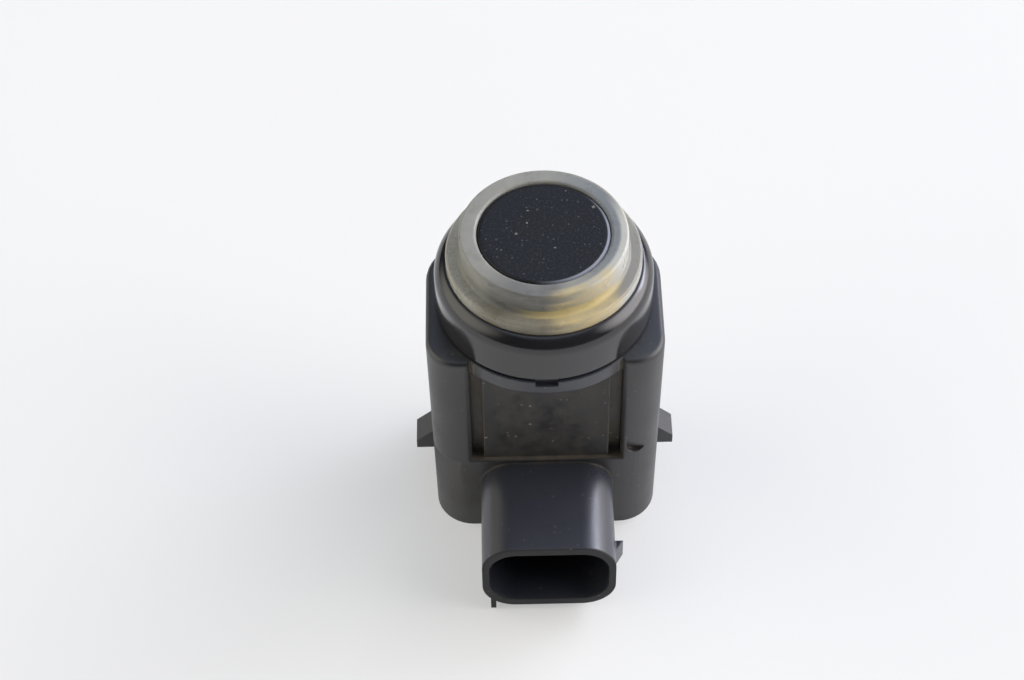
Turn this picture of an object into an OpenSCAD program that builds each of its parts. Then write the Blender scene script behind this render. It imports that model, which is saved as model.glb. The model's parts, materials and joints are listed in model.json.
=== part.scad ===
// Ultrasonic parking sensor, standing on its rear rim with the membrane up.
// Origin: rear rim plane on the sensor's axis. +Z to the membrane, plug socket towards -Y. Millimetres.

/* [Transducer cup] */
// Diameter of the membrane, the closed face of the transducer cup
membrane_d = 15.6; // [14:0.1:17]
// Thickness of the membrane
membrane_t = 0.8; // [0.5:0.1:1.2]
// Height of the transducer cup
cup_h = 9; // [8:0.1:9.4]
// Side wall of the transducer cup
cup_wall = 1.4; // [1:0.1:2]
// Edge radius round the membrane
cup_edge_r = 0.4; // [0.2:0.05:0.7]
// Depth of the membrane below the top of the ring
membrane_drop = 0.15; // [0.05:0.05:0.4]
// Diameter of the piezo disc under the membrane
piezo_d = 7; // [6:0.5:9]
// Thickness of the piezo disc
piezo_t = 0.3; // [0.2:0.05:0.5]
// Height of the damping pad under the piezo disc
pad_h = 3.6; // [2:0.2:4.4]

/* [Decoupling ring] */
// Diameter of the ring's neck round the cup
neck_d = 19.8; // [18.8:0.1:20.4]
// Height of the neck above the flange
neck_h = 3.25; // [2.5:0.05:4]
// Edge radius at the top of the neck
neck_edge_r = 0.3; // [0.1:0.05:0.5]
// Edge radius round the ring's bore
bore_edge_r = 0.4; // [0.1:0.05:0.6]
// Reach of the flange over the cap, from the cap's bore out
flange_reach = 1.15; // [0.8:0.05:1.2]
// Thickness of the flange
flange_t = 1.55; // [1.2:0.05:2]
// Edge radius of the flange
flange_edge_r = 0.35; // [0.1:0.05:0.5]
// Radius of the hollow where the neck meets the flange
neck_root_r = 0.45; // [0.2:0.05:0.6]
// Thickness of the foot that carries the cup
foot_t = 1; // [0.7:0.1:1.4]
// Width of the foot under the cup's wall
foot_w = 1.4; // [1:0.1:2]

/* [Retaining cap] */
// Diameter of the cap's hollow under its lip
cap_hollow_d = 22; // [21.6:0.1:22.4]
// Thickness of the cap's wall round the hollow
cap_wall = 2; // [1.8:0.1:2.4]
// Height of the cap's straight wall
cap_wall_h = 4.6; // [4.2:0.1:5.2]
// Radius of the cap's round shoulder
cap_shoulder_r = 2.3; // [2.1:0.05:2.6]
// Height of the flange's seat above the housing
cap_seat_h = 6.7; // [6.4:0.1:6.8]
// Reach of the lip that the ring grips, from the hollow in
cap_lip_w = 0.6; // [0.4:0.05:0.9]
// Thickness of that lip
cap_lip_t = 2.4; // [2:0.1:2.8]
// Wall of the spigot that enters the housing
spigot_wall = 1; // [0.8:0.05:1.2]
// Height of the spigot
spigot_h = 1.35; // [1.2:0.05:1.4]
// Height of the shadow gap between cap and housing
shadow_gap_h = 0.35; // [0.2:0.05:0.5]
// Depth of the shadow gap
shadow_gap_depth = 0.5; // [0.3:0.05:0.7]

/* [Housing] */
// Width of the body without the lugs
body_w = 28.3; // [27.8:0.1:29.5]
// Distance of the body's front from the sensor's axis
body_front = 10.3; // [10:0.1:11]
// Distance of the body's back from the sensor's axis
body_back = 9.2; // [8.8:0.1:10.2]
// Height of the body from the rear rim to the cap
body_h = 32.4; // [30:0.1:36]
// Draft of each side, from the cap down to the rear rim
body_draft = 0.35; // [0.1:0.05:0.5]
// Radius of the front corners under the cap
front_corner_r = 4; // [3.2:0.1:4.6]
// Radius of the front corners at the rear rim
rim_corner_r = 4.7; // [4:0.1:5]
// Radius of the back corners
back_corner_r = 5.7; // [5:0.1:6.2]
// Edge radius round the body's top
top_edge_r = 0.75; // [0.4:0.05:0.9]
// Side and back wall of the body
body_wall = 1.7; // [1.4:0.1:2]
// Front wall behind the grooves
front_wall = 1.5; // [1.2:0.1:1.8]
// Step of the round lip outside the cap's wall
lip_step = 0.2; // [0.2:0.05:0.4]
// Height of the round lip under the cap
lip_h = 2; // [1.8:0.1:2.6]
// Thickness of the partition under the head
partition_t = 2; // [1.5:0.1:3]
// Width of the front panel between the two pillars
panel_w = 18.2; // [17.8:0.1:18.8]
// Depth of the panel behind the pillars
panel_depth = 0.6; // [0.4:0.05:0.8]
// Edge radius of the pillars beside the panel
pillar_edge_r = 0.5; // [0.3:0.05:0.9]
// Width of the groove beside each pillar
groove_w = 1.5; // [1:0.1:2]
// Depth of the grooves behind the panel
groove_depth = 1.3; // [0.8:0.1:1.6]
// Width of the notch in the lip
notch_w = 2.7; // [2:0.1:3.5]
// Height of the notch in the lip
notch_h = 0.7; // [0.5:0.1:1.2]
// Depth of the notch in the lip
notch_depth = 0.6; // [0.3:0.1:0.7]

/* [Latch lugs, pocket and recess] */
// Length of each latch lug along the body
lug_len = 3.4; // [2.5:0.1:5]
// Reach of each lug beyond the body
lug_reach = 2.15; // [1.5:0.05:2.6]
// Height of the lugs' flat underside above the rear rim
lug_z = 5; // [4:0.1:8]
// Thickness of a lug at its tip
lug_tip_t = 1.4; // [1:0.1:2]
// Thickness of a lug at the body
lug_root_t = 3.4; // [2.5:0.1:4]
// Width of the pocket in the +X pillar
pocket_w = 2.4; // [2:0.1:2.8]
// Distance of the pocket from the panel
pocket_inset = 0.7; // [0.4:0.05:0.9]
// Height of the pocket's ramp
pocket_h = 3.4; // [2.5:0.1:4]
// Depth of the pocket at its lower end
pocket_depth = 0.9; // [0.5:0.1:1.2]
// Height of the pocket's lower end above the rear rim
pocket_z = 14.4; // [12:0.1:17]
// Height of the corner recess's upper end above the rear rim
recess_z = 13; // [11:0.1:14]
// Height over which the corner recess runs out
recess_h = 7; // [5:0.1:8]
// Depth of the corner recess at its upper end
recess_depth = 0.6; // [0.4:0.05:0.8]
// Direction that the corner recess faces, in degrees from +X
recess_turn = 222; // [210:1:234]

/* [Plug socket] */
// Width of the socket's shroud
plug_w = 16.3; // [15.6:0.1:16.8]
// Height of the shroud
plug_h = 11.8; // [11:0.1:12.4]
// Length of the shroud in front of the body
plug_len = 13; // [11:0.1:15]
// Height of the socket's axis above the rear rim
plug_z = 7; // [6.8:0.1:8]
// Corner radius of the shroud
plug_corner_r = 4.2; // [3.5:0.1:4.8]
// Side walls of the shroud
plug_side_wall = 0.85; // [0.7:0.05:1.1]
// Upper and lower walls of the shroud
plug_top_wall = 1.15; // [0.8:0.05:1.3]
// Thickness of the wall between socket and circuit board
plug_floor_t = 2.1; // [1.8:0.1:3]
// Height of the panel's ledge over the shroud
ledge_step = 0.45; // [0.3:0.05:0.6]
// Length of the latch wedge on the shroud
wedge_len = 1.7; // [1.2:0.1:2.5]
// Reach of the latch wedge
wedge_reach = 1; // [0.6:0.05:1.2]
// Height of the latch wedge
wedge_h = 3; // [2:0.1:4]
// Distance of the wedge's flat back from the mouth
wedge_setback = 4.15; // [3.5:0.05:6]
// Width of the key rib under the shroud
key_w = 0.65; // [0.5:0.05:0.9]
// Drop of the key rib below the shroud
key_drop = 0.6; // [0.3:0.05:0.8]
// Distance of the key rib from the shroud's side
key_inset = 1.3; // [1.1:0.05:2]

/* [Contact pins] */
// Thickness of the square pins
pin_w = 0.8; // [0.6:0.05:1]
// Spacing of the pins
pin_pitch = 3.8; // [3:0.1:4.2]
// Length of the pins inside the socket
pin_reach = 8.5; // [7:0.1:9.5]
// Distance from the inner wall to the pins' bend
pin_bend = 1.5; // [1.2:0.1:1.8]
// Length of the pin tails below the board
pin_tail = 1.2; // [0.8:0.1:1.6]

/* [Circuit board] */
// Depth of the potting below the rear rim
potting_drop = 0.8; // [0.5:0.1:1.2]
// Thickness of the potting under the board
potting_t = 2.75; // [2.2:0.05:3.2]
// Thickness of the circuit board
board_t = 1.6; // [1:0.1:2]
// Width of the posts that stop the board
post_w = 2.2; // [1.8:0.1:2.6]
// Distance of the transducer leads from the middle
lead_x = 2.2; // [1.8:0.1:2.6]
// Distance of the transducer leads in front of the axis
lead_y = 2.6; // [2.2:0.1:2.8]
// Diameter of the transducer leads
lead_d = 0.7; // [0.5:0.05:0.9]

/* [Components] */
// Width of the control chip
chip_w = 5.4; // [4.4:0.1:5.6]
// Length of the control chip
chip_len = 7.6; // [6:0.1:8]
// Height of the control chip above its leads' feet
chip_h = 1.8; // [1.4:0.1:2.4]
// Leads on each side of the control chip
chip_leads = 8; // [6:1:10]
// Width over the chip's leads
chip_span = 7.8; // [7.4:0.1:8.2]
// Side of the transformer's base
coil_base_w = 6.4; // [6.2:0.1:7]
// Height of the transformer over the board
coil_h = 8; // [6:0.1:10]
// Diameter of the transformer's flanges and core
coil_d = 5.9; // [5:0.1:6.1]
// Diameter of the storage capacitor
can_d = 5.6; // [5:0.1:6]
// Height of the storage capacitor with its base
can_h = 7.6; // [5:0.1:10]
// Length of the supply diode
diode_len = 3.8; // [3.4:0.1:4.2]
// Length of the small capacitors and resistors
small_len = 1.6; // [1.4:0.1:1.8]
// Width of the small capacitors and resistors
small_w = 0.8; // [0.6:0.1:0.9]
// Height of the ceramic capacitors
ceramic_h = 0.8; // [0.6:0.1:1]
// Height of the resistors
resistor_h = 0.45; // [0.3:0.05:0.6]
// Ceramic capacitors in their row
ceramic_count = 3; // [2:1:4]

/* [Fits] */
// Gap between pieces that seat on or in one another
fit_gap = 0.05; // [0.03:0.01:0.1]

/* [Hidden] */
$fn = 96;
// Overshoot of a cut past the face that it opens
over = 1;

// Diameters of the head, from the cap's hollow in and out
cap_d = cap_hollow_d + 2 * cap_wall;
spigot_d = cap_hollow_d + 2 * spigot_wall;
cap_bore_d = cap_hollow_d - 2 * cap_lip_w;
flange_d = cap_bore_d + 2 * flange_reach;
lip_d = cap_d + 2 * lip_step;

// Heights of the head, from the housing's top up
cap_shoulder_z = body_h + cap_wall_h;
seat_z = body_h + cap_seat_h;
lip_z = seat_z - cap_lip_t;
flange_top_z = seat_z + fit_gap + flange_t;
ring_top_z = flange_top_z + neck_h;
membrane_z = ring_top_z - membrane_drop;
cup_foot_z = membrane_z - cup_h;
ring_foot_z = cup_foot_z - fit_gap - foot_t;
cup_bore_d = membrane_d - 2 * cup_wall;
piezo_z = membrane_z - membrane_t - piezo_t;
pad_z = piezo_z - fit_gap - pad_h;

// The well in the housing's top and the hollow for the electronics
spigot_z = body_h - spigot_h;
well_z = spigot_z - fit_gap;
ceiling_z = well_z - partition_t;
lip_under_z = body_h - lip_h;
pillar_y = -body_front;
panel_y = pillar_y + panel_depth;
groove_y = panel_y + groove_depth;
hollow_front_y = groove_y + front_wall;
hollow_back_y = body_back - body_wall;
hollow_w = body_w - 2 * body_wall;
hollow_front_r = front_corner_r - body_wall;
hollow_back_r = back_corner_r - body_wall;

// The plug socket
mouth_y = pillar_y - plug_len;
socket_floor_y = hollow_front_y - plug_floor_t;
socket_w = plug_w - 2 * plug_side_wall;
socket_h = plug_h - 2 * plug_top_wall;
socket_corner_r = plug_corner_r - plug_side_wall;
ledge_z = plug_z + plug_h / 2 + ledge_step;

// The circuit board and what stands on it
potting_top_z = potting_drop + potting_t;
board_z = potting_top_z + fit_gap;
board_top_z = board_z + board_t;
part_z = board_top_z + fit_gap;
pin_x = [for (i = [-1 : 1]) i * pin_pitch];
pin_bend_y = hollow_front_y + pin_bend;
pin_tail_z = board_z - pin_tail;
pin_hole_d = pin_w * sqrt(2) + 2 * fit_gap;
lead_hole_d = lead_d + 2 * fit_gap;
solder_d = 2 * lead_d;
coil_x = (hollow_w / 2 + chip_span / 2) / 2;
coil_y = hollow_back_y - post_w - coil_base_w / 2 - fit_gap;
chip_y = chip_len / 2 - lead_y + solder_d / 2 + lead_d / 2;
can_base_ratio = 1.05;
can_base_w = can_d * can_base_ratio;
can_x = -coil_x;
can_y = hollow_back_y - post_w - can_base_w / 2 - fit_gap;
coil_front_y = coil_y - coil_base_w / 2;
small_row_y = (hollow_front_y + post_w + coil_front_y) / 2;
diode_gap = 4 * fit_gap;
diode_x = hollow_w / 2 - post_w - diode_len / 2 - diode_gap;
resistor_x = (lead_x + lead_d + diode_x - diode_len / 2) / 2;

// Finish colours, as the eye sees them
moulded_black = "#2b2c30";
cap_black = "#303136";
silicone_grey = "#a9a79c";
membrane_black = "#23252b";

// Outline of the hollow, drawn in by a gap: small radii in front, large ones at the back.
module hollow_outline(gap) {
  w = hollow_w - 2 * gap;
  front = hollow_front_y + gap;
  back = hollow_back_y - gap;
  front_r = hollow_front_r - gap;
  back_r = hollow_back_r - gap;
  translate([-w / 2, front + front_r]) square([w, back - back_r - front - front_r]);
  translate([front_r - w / 2, front]) square([w - 2 * front_r, front_r + over]);
  translate([back_r - w / 2, back - back_r - over]) square([w - 2 * back_r, back_r + over]);
  for (x = [-1, 1]) {
    translate([x * (w / 2 - front_r), front + front_r]) circle(front_r);
    translate([x * (w / 2 - back_r), back - back_r]) circle(back_r);
  }
}

// Flat outline of a rectangle with round corners, centred.
module rounded_outline(w, d, r) {
  square([w - 2 * r, d], center = true);
  square([w, d - 2 * r], center = true);
  for (x = [-1, 1], y = [-1, 1])
    translate([x * (w / 2 - r), y * (d / 2 - r)]) circle(r);
}

// Outer corner of a profile, to take away where an edge of radius r is wanted.
module edge_round(r) {
  difference() {
    translate([-r, -r]) square(r + over);
    translate([-r, -r]) circle(r);
  }
}

// Hollow of radius r in an inner corner, to add to a profile.
module root_fillet(r) {
  difference() {
    square(r);
    translate([r, r]) circle(r);
  }
}

// Upright round bar from z0 to z1.
module bar(d, z0, z1) {
  translate([0, 0, z0]) cylinder(d = d, h = z1 - z0);
}

// Block with its low corner at the given point.
module block(corner, size) {
  translate(corner) cube(size);
}

// Places a flat outline in the socket's cross-section, reaching from one Y to another.
module along_socket(from_y, to_y) {
  translate([0, to_y, plug_z]) rotate([90, 0, 0]) linear_extrude(to_y - from_y) children();
}

// Copies a shape from the +X side to both sides.
module both_sides() {
  children();
  mirror([1, 0, 0]) children();
}

// Body with a panel sunk between two round-edged pillars, down to a ledge over the socket.
module body_block() {
  groove_x = panel_w / 2 - groove_w;
  difference() {
    drafted_block();
    translate([0, pillar_y, ledge_z]) linear_extrude(body_h - ledge_z + over) {
      translate([-panel_w / 2, -over]) square([panel_w, over + panel_depth]);
      both_sides() translate([panel_w / 2, 0]) rotate(180) edge_round(pillar_edge_r);
    }
    both_sides()
      block([groove_x, panel_y - over, ledge_z],
            [groove_w, over + groove_depth, lip_under_z - ledge_z + fit_gap]);
    pillar_pocket();
    corner_recess();
  }
}

// Inset of the body's front and back: they are upright, and only the top edge is drawn in.
function front_inset(z, inset) = z > 0 ? inset : 0;

// Convex body: drafted sides, four round corners and a round top edge.
module drafted_block() {
  layer_t = 0.01;
  hull() {
    block_layer(0, layer_t, body_draft, rim_corner_r, back_corner_r);
    for (a = [0 : 30 : 90]) {
      inset = top_edge_r * (1 - cos(a));
      top_z = body_h - top_edge_r * (1 - sin(a));
      block_layer(top_z - layer_t, layer_t, inset, front_corner_r - inset, back_corner_r - inset);
    }
  }
}

// Four corner discs of one level of the body, its sides drawn in by an inset.
module block_layer(z, t, inset, front_r, back_r) {
  sides = 40;
  both_sides() {
    translate([body_w / 2 - inset - front_r, front_r + front_inset(z, inset) - body_front, z])
      cylinder(r = front_r, h = t, $fn = sides);
    translate([body_w / 2 - inset - back_r, body_back - front_inset(z, inset) - back_r, z])
      cylinder(r = back_r, h = t, $fn = sides);
  }
}

// Ramped pocket in the front of the +X pillar, deepest at its round lower end.
module pillar_pocket() {
  ramp = atan(pocket_depth / pocket_h);
  pocket_x = panel_w / 2 + pocket_inset + pocket_w / 2;
  r = pocket_w / 2;
  intersection() {
    translate([pocket_x, pillar_y, pocket_z + pocket_h]) rotate([ramp, 0, 0])
      translate([-pocket_w, -2 * over, -2 * pocket_h])
        cube([2 * pocket_w, 2 * over, 2 * pocket_h]);
    translate([pocket_x, pillar_y + 2 * over, pocket_z + r]) rotate([90, 0, 0]) linear_extrude(4 * over) {
      circle(r);
      translate([-r, 0]) square([pocket_w, pocket_h]);
    }
  }
}

// Flat recess in the front corner on the -X side, deepest at its upper end.
module corner_recess() {
  axis_x = body_draft + rim_corner_r - body_w / 2;
  axis_y = rim_corner_r - body_front;
  half_w = 2 * body_wall;
  r = rim_corner_r - recess_depth;
  reach = 2 * over;
  run = reach * recess_h / recess_depth;
  translate([axis_x, axis_y, 0]) rotate([0, 0, recess_turn]) translate([0, half_w, 0])
    rotate([90, 0, 0]) linear_extrude(2 * half_w)
      polygon([[r, recess_z], [r + reach, recess_z], [r + reach, recess_z - run]]);
}

// Latch lug on the +X side, with a sloped top and a flat underside.
module latch_lug() {
  root = body_wall / 2;
  x0 = body_w / 2;
  translate([0, lug_len / 2, 0]) rotate([90, 0, 0]) linear_extrude(lug_len)
    polygon([
      [x0 - root, lug_z],
      [x0 + lug_reach, lug_z],
      [x0 + lug_reach, lug_z + lug_tip_t],
      [x0, lug_z + lug_root_t],
      [x0 - root, lug_z + lug_root_t]
    ]);
}

// Shroud with its latch wedge and key rib, still without the socket.
module plug_shroud() {
  side_x = plug_w / 2;
  wedge_y = mouth_y + wedge_setback;
  key_x = -side_x + key_inset;
  key_z = plug_z - plug_h / 2 - key_drop;
  along_socket(mouth_y, socket_floor_y) rounded_outline(plug_w, plug_h, plug_corner_r);
  translate([0, 0, plug_z - wedge_h / 2]) linear_extrude(wedge_h)
    polygon([
      [side_x - plug_side_wall / 2, wedge_y],
      [side_x + wedge_reach, wedge_y],
      [side_x, wedge_y - wedge_len],
      [side_x - plug_side_wall / 2, wedge_y - wedge_len]
    ]);
  block([key_x - key_w / 2, mouth_y, key_z], [key_w, plug_len, key_drop + plug_corner_r / 2]);
}

// One moulding: body, round lip, lugs and plug shroud, open at the rear.
module housing() {
  color(moulded_black) difference() {
    union() {
      body_block();
      bar(lip_d, lip_under_z, body_h);
      both_sides() latch_lug();
      plug_shroud();
    }
    bar(spigot_d + 2 * fit_gap, well_z, body_h + over);
    electronics_hollow();
    for (x = [-1, 1])
      translate([x * lead_x, -lead_y, 0]) bar(lead_hole_d, ceiling_z - over, well_z + over);
    along_socket(mouth_y - over, socket_floor_y) rounded_outline(socket_w, socket_h, socket_corner_r);
    for (x = pin_x)
      block([x - pin_w / 2 - fit_gap, socket_floor_y - over, plug_z - pin_w / 2 - fit_gap],
            [pin_w + 2 * fit_gap, plug_floor_t + 2 * over, pin_w + 2 * fit_gap]);
    block([-notch_w / 2, -lip_d / 2 - over, body_h - notch_h],
          [notch_w, over + notch_depth, notch_h + over]);
  }
}

// Hollow for the electronics, open at the rear, less the corner posts that stop the board.
module electronics_hollow() {
  post_x = hollow_w / 2 - post_w;
  difference() {
    translate([0, 0, -over]) linear_extrude(ceiling_z + over) hollow_outline(0);
    both_sides()
      for (y = [hollow_front_y - over, hollow_back_y - post_w])
        block([post_x, y, part_z], [post_w + over, post_w + over, ceiling_z - part_z + over]);
  }
}

// Collar that holds the ring, with a round shoulder, a seat and a spigot.
module retaining_cap() {
  cap_r = cap_d / 2;
  color(cap_black) rotate_extrude() difference() {
    union() {
      translate([0, spigot_z]) square([spigot_d / 2, spigot_h + over]);
      translate([0, body_h]) square([cap_r, cap_wall_h]);
      translate([0, cap_shoulder_z]) square([cap_r - cap_shoulder_r, seat_z - cap_shoulder_z]);
      intersection() {
        translate([cap_r - cap_shoulder_r, cap_shoulder_z]) circle(cap_shoulder_r);
        translate([0, cap_shoulder_z]) square([cap_r, seat_z - cap_shoulder_z]);
      }
    }
    translate([-over, spigot_z - over]) square([over + cap_bore_d / 2, seat_z - spigot_z + 2 * over]);
    translate([-over, spigot_z - over]) square([over + cap_hollow_d / 2, lip_z - spigot_z + over]);
    translate([cap_r - shadow_gap_depth, body_h - over])
      square([shadow_gap_depth + over, shadow_gap_h + over]);
  }
}

// Silicone ring: neck round the cup, flange on the cap, groove and bead under the lip, foot.
module decoupling_ring() {
  bore_r = membrane_d / 2 + fit_gap;
  neck_r = neck_d / 2;
  flange_r = flange_d / 2;
  groove_r = cap_bore_d / 2 - fit_gap;
  bead_r = cap_hollow_d / 2 - fit_gap;
  flange_z = seat_z + fit_gap;
  color(silicone_grey) rotate_extrude() difference() {
    union() {
      translate([0, ring_foot_z]) square([bead_r, lip_z - fit_gap - ring_foot_z]);
      translate([0, ring_foot_z]) square([groove_r, flange_z - ring_foot_z + flange_t / 2]);
      translate([0, flange_z]) square([flange_r, flange_t]);
      translate([0, flange_z]) square([neck_r, ring_top_z - flange_z]);
      translate([neck_r, flange_top_z]) root_fillet(neck_root_r);
    }
    translate([-over, cup_foot_z - fit_gap]) square([over + bore_r, ring_top_z - cup_foot_z + over]);
    translate([-over, ring_foot_z - over]) square([over + membrane_d / 2 - foot_w, foot_t + 2 * over]);
    translate([neck_r, ring_top_z]) edge_round(neck_edge_r);
    translate([bore_r, ring_top_z]) mirror([1, 0]) edge_round(bore_edge_r);
    translate([flange_r, flange_top_z]) edge_round(flange_edge_r);
  }
}

// Aluminium cup whose closed end is the membrane.
module transducer_cup() {
  r = membrane_d / 2;
  color(membrane_black) rotate_extrude() difference() {
    translate([0, cup_foot_z]) square([r, cup_h]);
    translate([-over, cup_foot_z - over]) square([over + cup_bore_d / 2, cup_h - membrane_t + over]);
    translate([r, membrane_z]) edge_round(cup_edge_r);
  }
}

// Piezo disc bonded under the membrane.
module piezo_disc() {
  color("#cfc7a8") bar(piezo_d, piezo_z, piezo_z + piezo_t - fit_gap / 2);
}

// Upright round slab with passages for the two leads.
module slab_with_lead_holes(d, z0, z1) {
  difference() {
    bar(d, z0, z1);
    for (x = [-1, 1])
      translate([x * lead_x, -lead_y, 0]) bar(lead_hole_d, z0 - over, z1 + over);
  }
}

// Soft pad that damps the piezo disc.
module damping_pad() {
  color("#d8d4c8") slab_with_lead_holes(cup_bore_d - 2 * fit_gap, pad_z, piezo_z - fit_gap);
}

// Sealing compound that closes the cup.
module cup_filler() {
  color("#8f8d86") slab_with_lead_holes(cup_bore_d - 2 * fit_gap, cup_foot_z, pad_z - fit_gap);
}

// Foam disc between the ring's foot and the partition.
module foam_disc() {
  color("#6a6a6a")
    slab_with_lead_holes(cap_hollow_d - 2 * fit_gap, spigot_z, ring_foot_z - fit_gap);
}

// Wire from the transducer to the circuit board, with a solder foot.
module transducer_lead(side, top_z) {
  translate([side * lead_x, -lead_y, 0]) {
    bar(lead_d, part_z, top_z);
    translate([0, 0, part_z]) cylinder(d1 = solder_d, d2 = lead_d, h = lead_d);
  }
}

// Lead of the piezo disc, up to the disc's underside.
module signal_lead() {
  color("#b5402f") transducer_lead(1, piezo_z - fit_gap);
}

// Lead of the cup, into the damping pad.
module ground_lead() {
  color("#27384f") transducer_lead(-1, piezo_z - fit_gap);
}

// Board with holes for the pin tails.
module circuit_board() {
  color("#2f5d3a") difference() {
    translate([0, 0, board_z]) linear_extrude(board_t) hollow_outline(2 * fit_gap);
    for (x = pin_x)
      translate([x, pin_bend_y, 0]) bar(pin_hole_d, board_z - over, board_top_z + over);
  }
}

// Bobbin: square base, hub tube and top flange.
module transformer_bobbin() {
  base_t = coil_h / 8;
  flange_z = part_z + coil_h * 5 / 8;
  color("#38322c") translate([coil_x, coil_y, 0]) difference() {
    union() {
      translate([-coil_base_w / 2, -coil_base_w / 2, part_z]) cube([coil_base_w, coil_base_w, base_t]);
      bar(coil_d / 2, part_z, flange_z + base_t);
      bar(coil_d, flange_z, flange_z + base_t);
    }
    bar(coil_d / 3, part_z + base_t / 2, part_z + coil_h);
  }
}

// Copper winding round the bobbin's hub.
module transformer_winding() {
  z0 = part_z + coil_h / 8 + fit_gap;
  z1 = part_z + coil_h * 5 / 8 - fit_gap;
  color("#b06a35") translate([coil_x, coil_y, 0]) difference() {
    bar(coil_d * 0.9, z0, z1);
    bar(coil_d / 2 + 2 * fit_gap, z0 - over, z1 + over);
  }
}

// Ferrite core: a rod in the hub under a round head.
module transformer_core() {
  head_z = part_z + coil_h * 3 / 4 + fit_gap;
  color("#4a4a4c") translate([coil_x, coil_y, 0]) {
    bar(coil_d / 3 - 2 * fit_gap, part_z + coil_h / 16 + fit_gap, head_z);
    bar(coil_d, head_z, part_z + coil_h);
  }
}

// Aluminium can of the storage capacitor, with its rolled bead.
module capacitor_can() {
  base_t = can_h / 8;
  r = can_d / 2;
  bead_r = can_d / 20;
  z0 = part_z + base_t + fit_gap;
  color("#b9bcc0") translate([can_x, can_y, 0]) rotate_extrude() difference() {
    translate([0, z0]) square([r, part_z + can_h - z0]);
    translate([r, z0 + 4 * bead_r]) circle(bead_r);
    translate([r, part_z + can_h]) edge_round(bead_r);
  }
}

// Plastic base of the storage capacitor, with two cut corners.
module capacitor_base() {
  base_t = can_h / 8;
  h = can_base_w / 2;
  cut = can_base_w / 6;
  color("#1d1d1f") translate([can_x, can_y, part_z]) linear_extrude(base_t)
    polygon([[-h, -h], [h - cut, -h], [h, cut - h], [h, h - cut], [h - cut, h], [-h, h]]);
}

// Moulded case of the control chip, with a dimple at its first lead.
module control_chip() {
  standoff = chip_h / 10;
  dimple_d = chip_w / 7;
  color("#1b1c1e") translate([0, chip_y, 0]) difference() {
    translate([-chip_w / 2, -chip_len / 2, part_z + standoff])
      cube([chip_w, chip_len, chip_h - standoff]);
    translate([-chip_w / 2 + 1.5 * dimple_d, chip_len / 2 - 1.5 * dimple_d, 0])
      bar(dimple_d, part_z + chip_h - standoff, part_z + chip_h + over);
  }
}

// Bent leads down both sides of the control chip.
module control_chip_leads() {
  pitch = chip_len / chip_leads;
  lead_t = chip_h / 10;
  foot = (chip_span - chip_w) / 2;
  knee_z = chip_h / 2;
  color("#c5c7ca") translate([0, chip_y, part_z]) both_sides()
    for (i = [0 : chip_leads - 1])
      translate([chip_w / 2 + fit_gap, (i - (chip_leads - 1) / 2) * pitch + pitch / 5, 0])
        rotate([90, 0, 0]) linear_extrude(pitch * 2 / 5)
          polygon([
            [0, knee_z],
            [foot / 2 - lead_t, knee_z],
            [foot / 2 - lead_t, 0],
            [foot - fit_gap, 0],
            [foot - fit_gap, lead_t],
            [foot / 2, lead_t],
            [foot / 2, knee_z + lead_t],
            [0, knee_z + lead_t]
          ]);
}

// Ceramic capacitors in a row in front of the storage capacitor.
module ceramic_capacitors() {
  pitch = 2 * small_w;
  color("#a98f6b")
    for (i = [0 : ceramic_count - 1])
      translate([can_x + (i - (ceramic_count - 1) / 2) * pitch, small_row_y, part_z + ceramic_h / 2])
        cube([small_w, small_len, ceramic_h], center = true);
}

// Two resistors between a transducer lead and the supply diode.
module chip_resistors() {
  color("#232427")
    for (y = [-small_w, small_w])
      translate([resistor_x, small_row_y + y, part_z + resistor_h / 2])
        cube([small_len, small_w, resistor_h], center = true);
}

// Supply diode: a case with two bent tabs.
module supply_diode() {
  case_w = diode_len * 3 / 5;
  case_h = diode_len / 2;
  tab = diode_len / 8;
  color("#202123") translate([diode_x, small_row_y, part_z]) {
    translate([tab - diode_len / 2, -case_w / 2, 0]) cube([diode_len - 2 * tab, case_w, case_h]);
    both_sides() translate([diode_len / 2 - tab, -case_w / 4, 0]) cube([tab, case_w / 2, case_h / 2]);
  }
}

// Square contact pin: a pointed blade in the socket, a bend, and a tail through the board.
module contact_pin(index) {
  h = pin_w / 2;
  tip_y = socket_floor_y - pin_reach;
  color("#c9a85c") translate([pin_x[index] - h, 0, 0]) rotate([90, 0, 90]) linear_extrude(pin_w)
    polygon([
      [tip_y, plug_z - h / 3],
      [tip_y + pin_w, plug_z - h],
      [pin_bend_y - h, plug_z - h],
      [pin_bend_y - h, pin_tail_z],
      [pin_bend_y + h, pin_tail_z],
      [pin_bend_y + h, plug_z + h],
      [tip_y + pin_w, plug_z + h],
      [tip_y, plug_z + h / 3]
    ]);
}

// Pin on the -X side.
module contact_pin_1() {
  contact_pin(0);
}

// Pin in the middle.
module contact_pin_2() {
  contact_pin(1);
}

// Pin on the +X side.
module contact_pin_3() {
  contact_pin(2);
}

// Sealing compound that fills the rear, round the pin tails.
module potting() {
  color("#1f2022") difference() {
    translate([0, 0, potting_drop]) linear_extrude(potting_t) hollow_outline(fit_gap);
    for (x = pin_x)
      block([x - pin_w / 2 - fit_gap, pin_bend_y - pin_w / 2 - fit_gap, pin_tail_z - fit_gap],
            [pin_w + 2 * fit_gap, pin_w + 2 * fit_gap, pin_tail + over]);
  }
}

housing();
retaining_cap();
decoupling_ring();
transducer_cup();
piezo_disc();
damping_pad();
cup_filler();
foam_disc();
signal_lead();
ground_lead();
circuit_board();
transformer_bobbin();
transformer_winding();
transformer_core();
capacitor_can();
capacitor_base();
control_chip();
control_chip_leads();
ceramic_capacitors();
chip_resistors();
supply_diode();
contact_pin_1();
contact_pin_2();
contact_pin_3();
potting();
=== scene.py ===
"""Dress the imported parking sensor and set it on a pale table, seen as in the photograph."""

from __future__ import annotations

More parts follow.
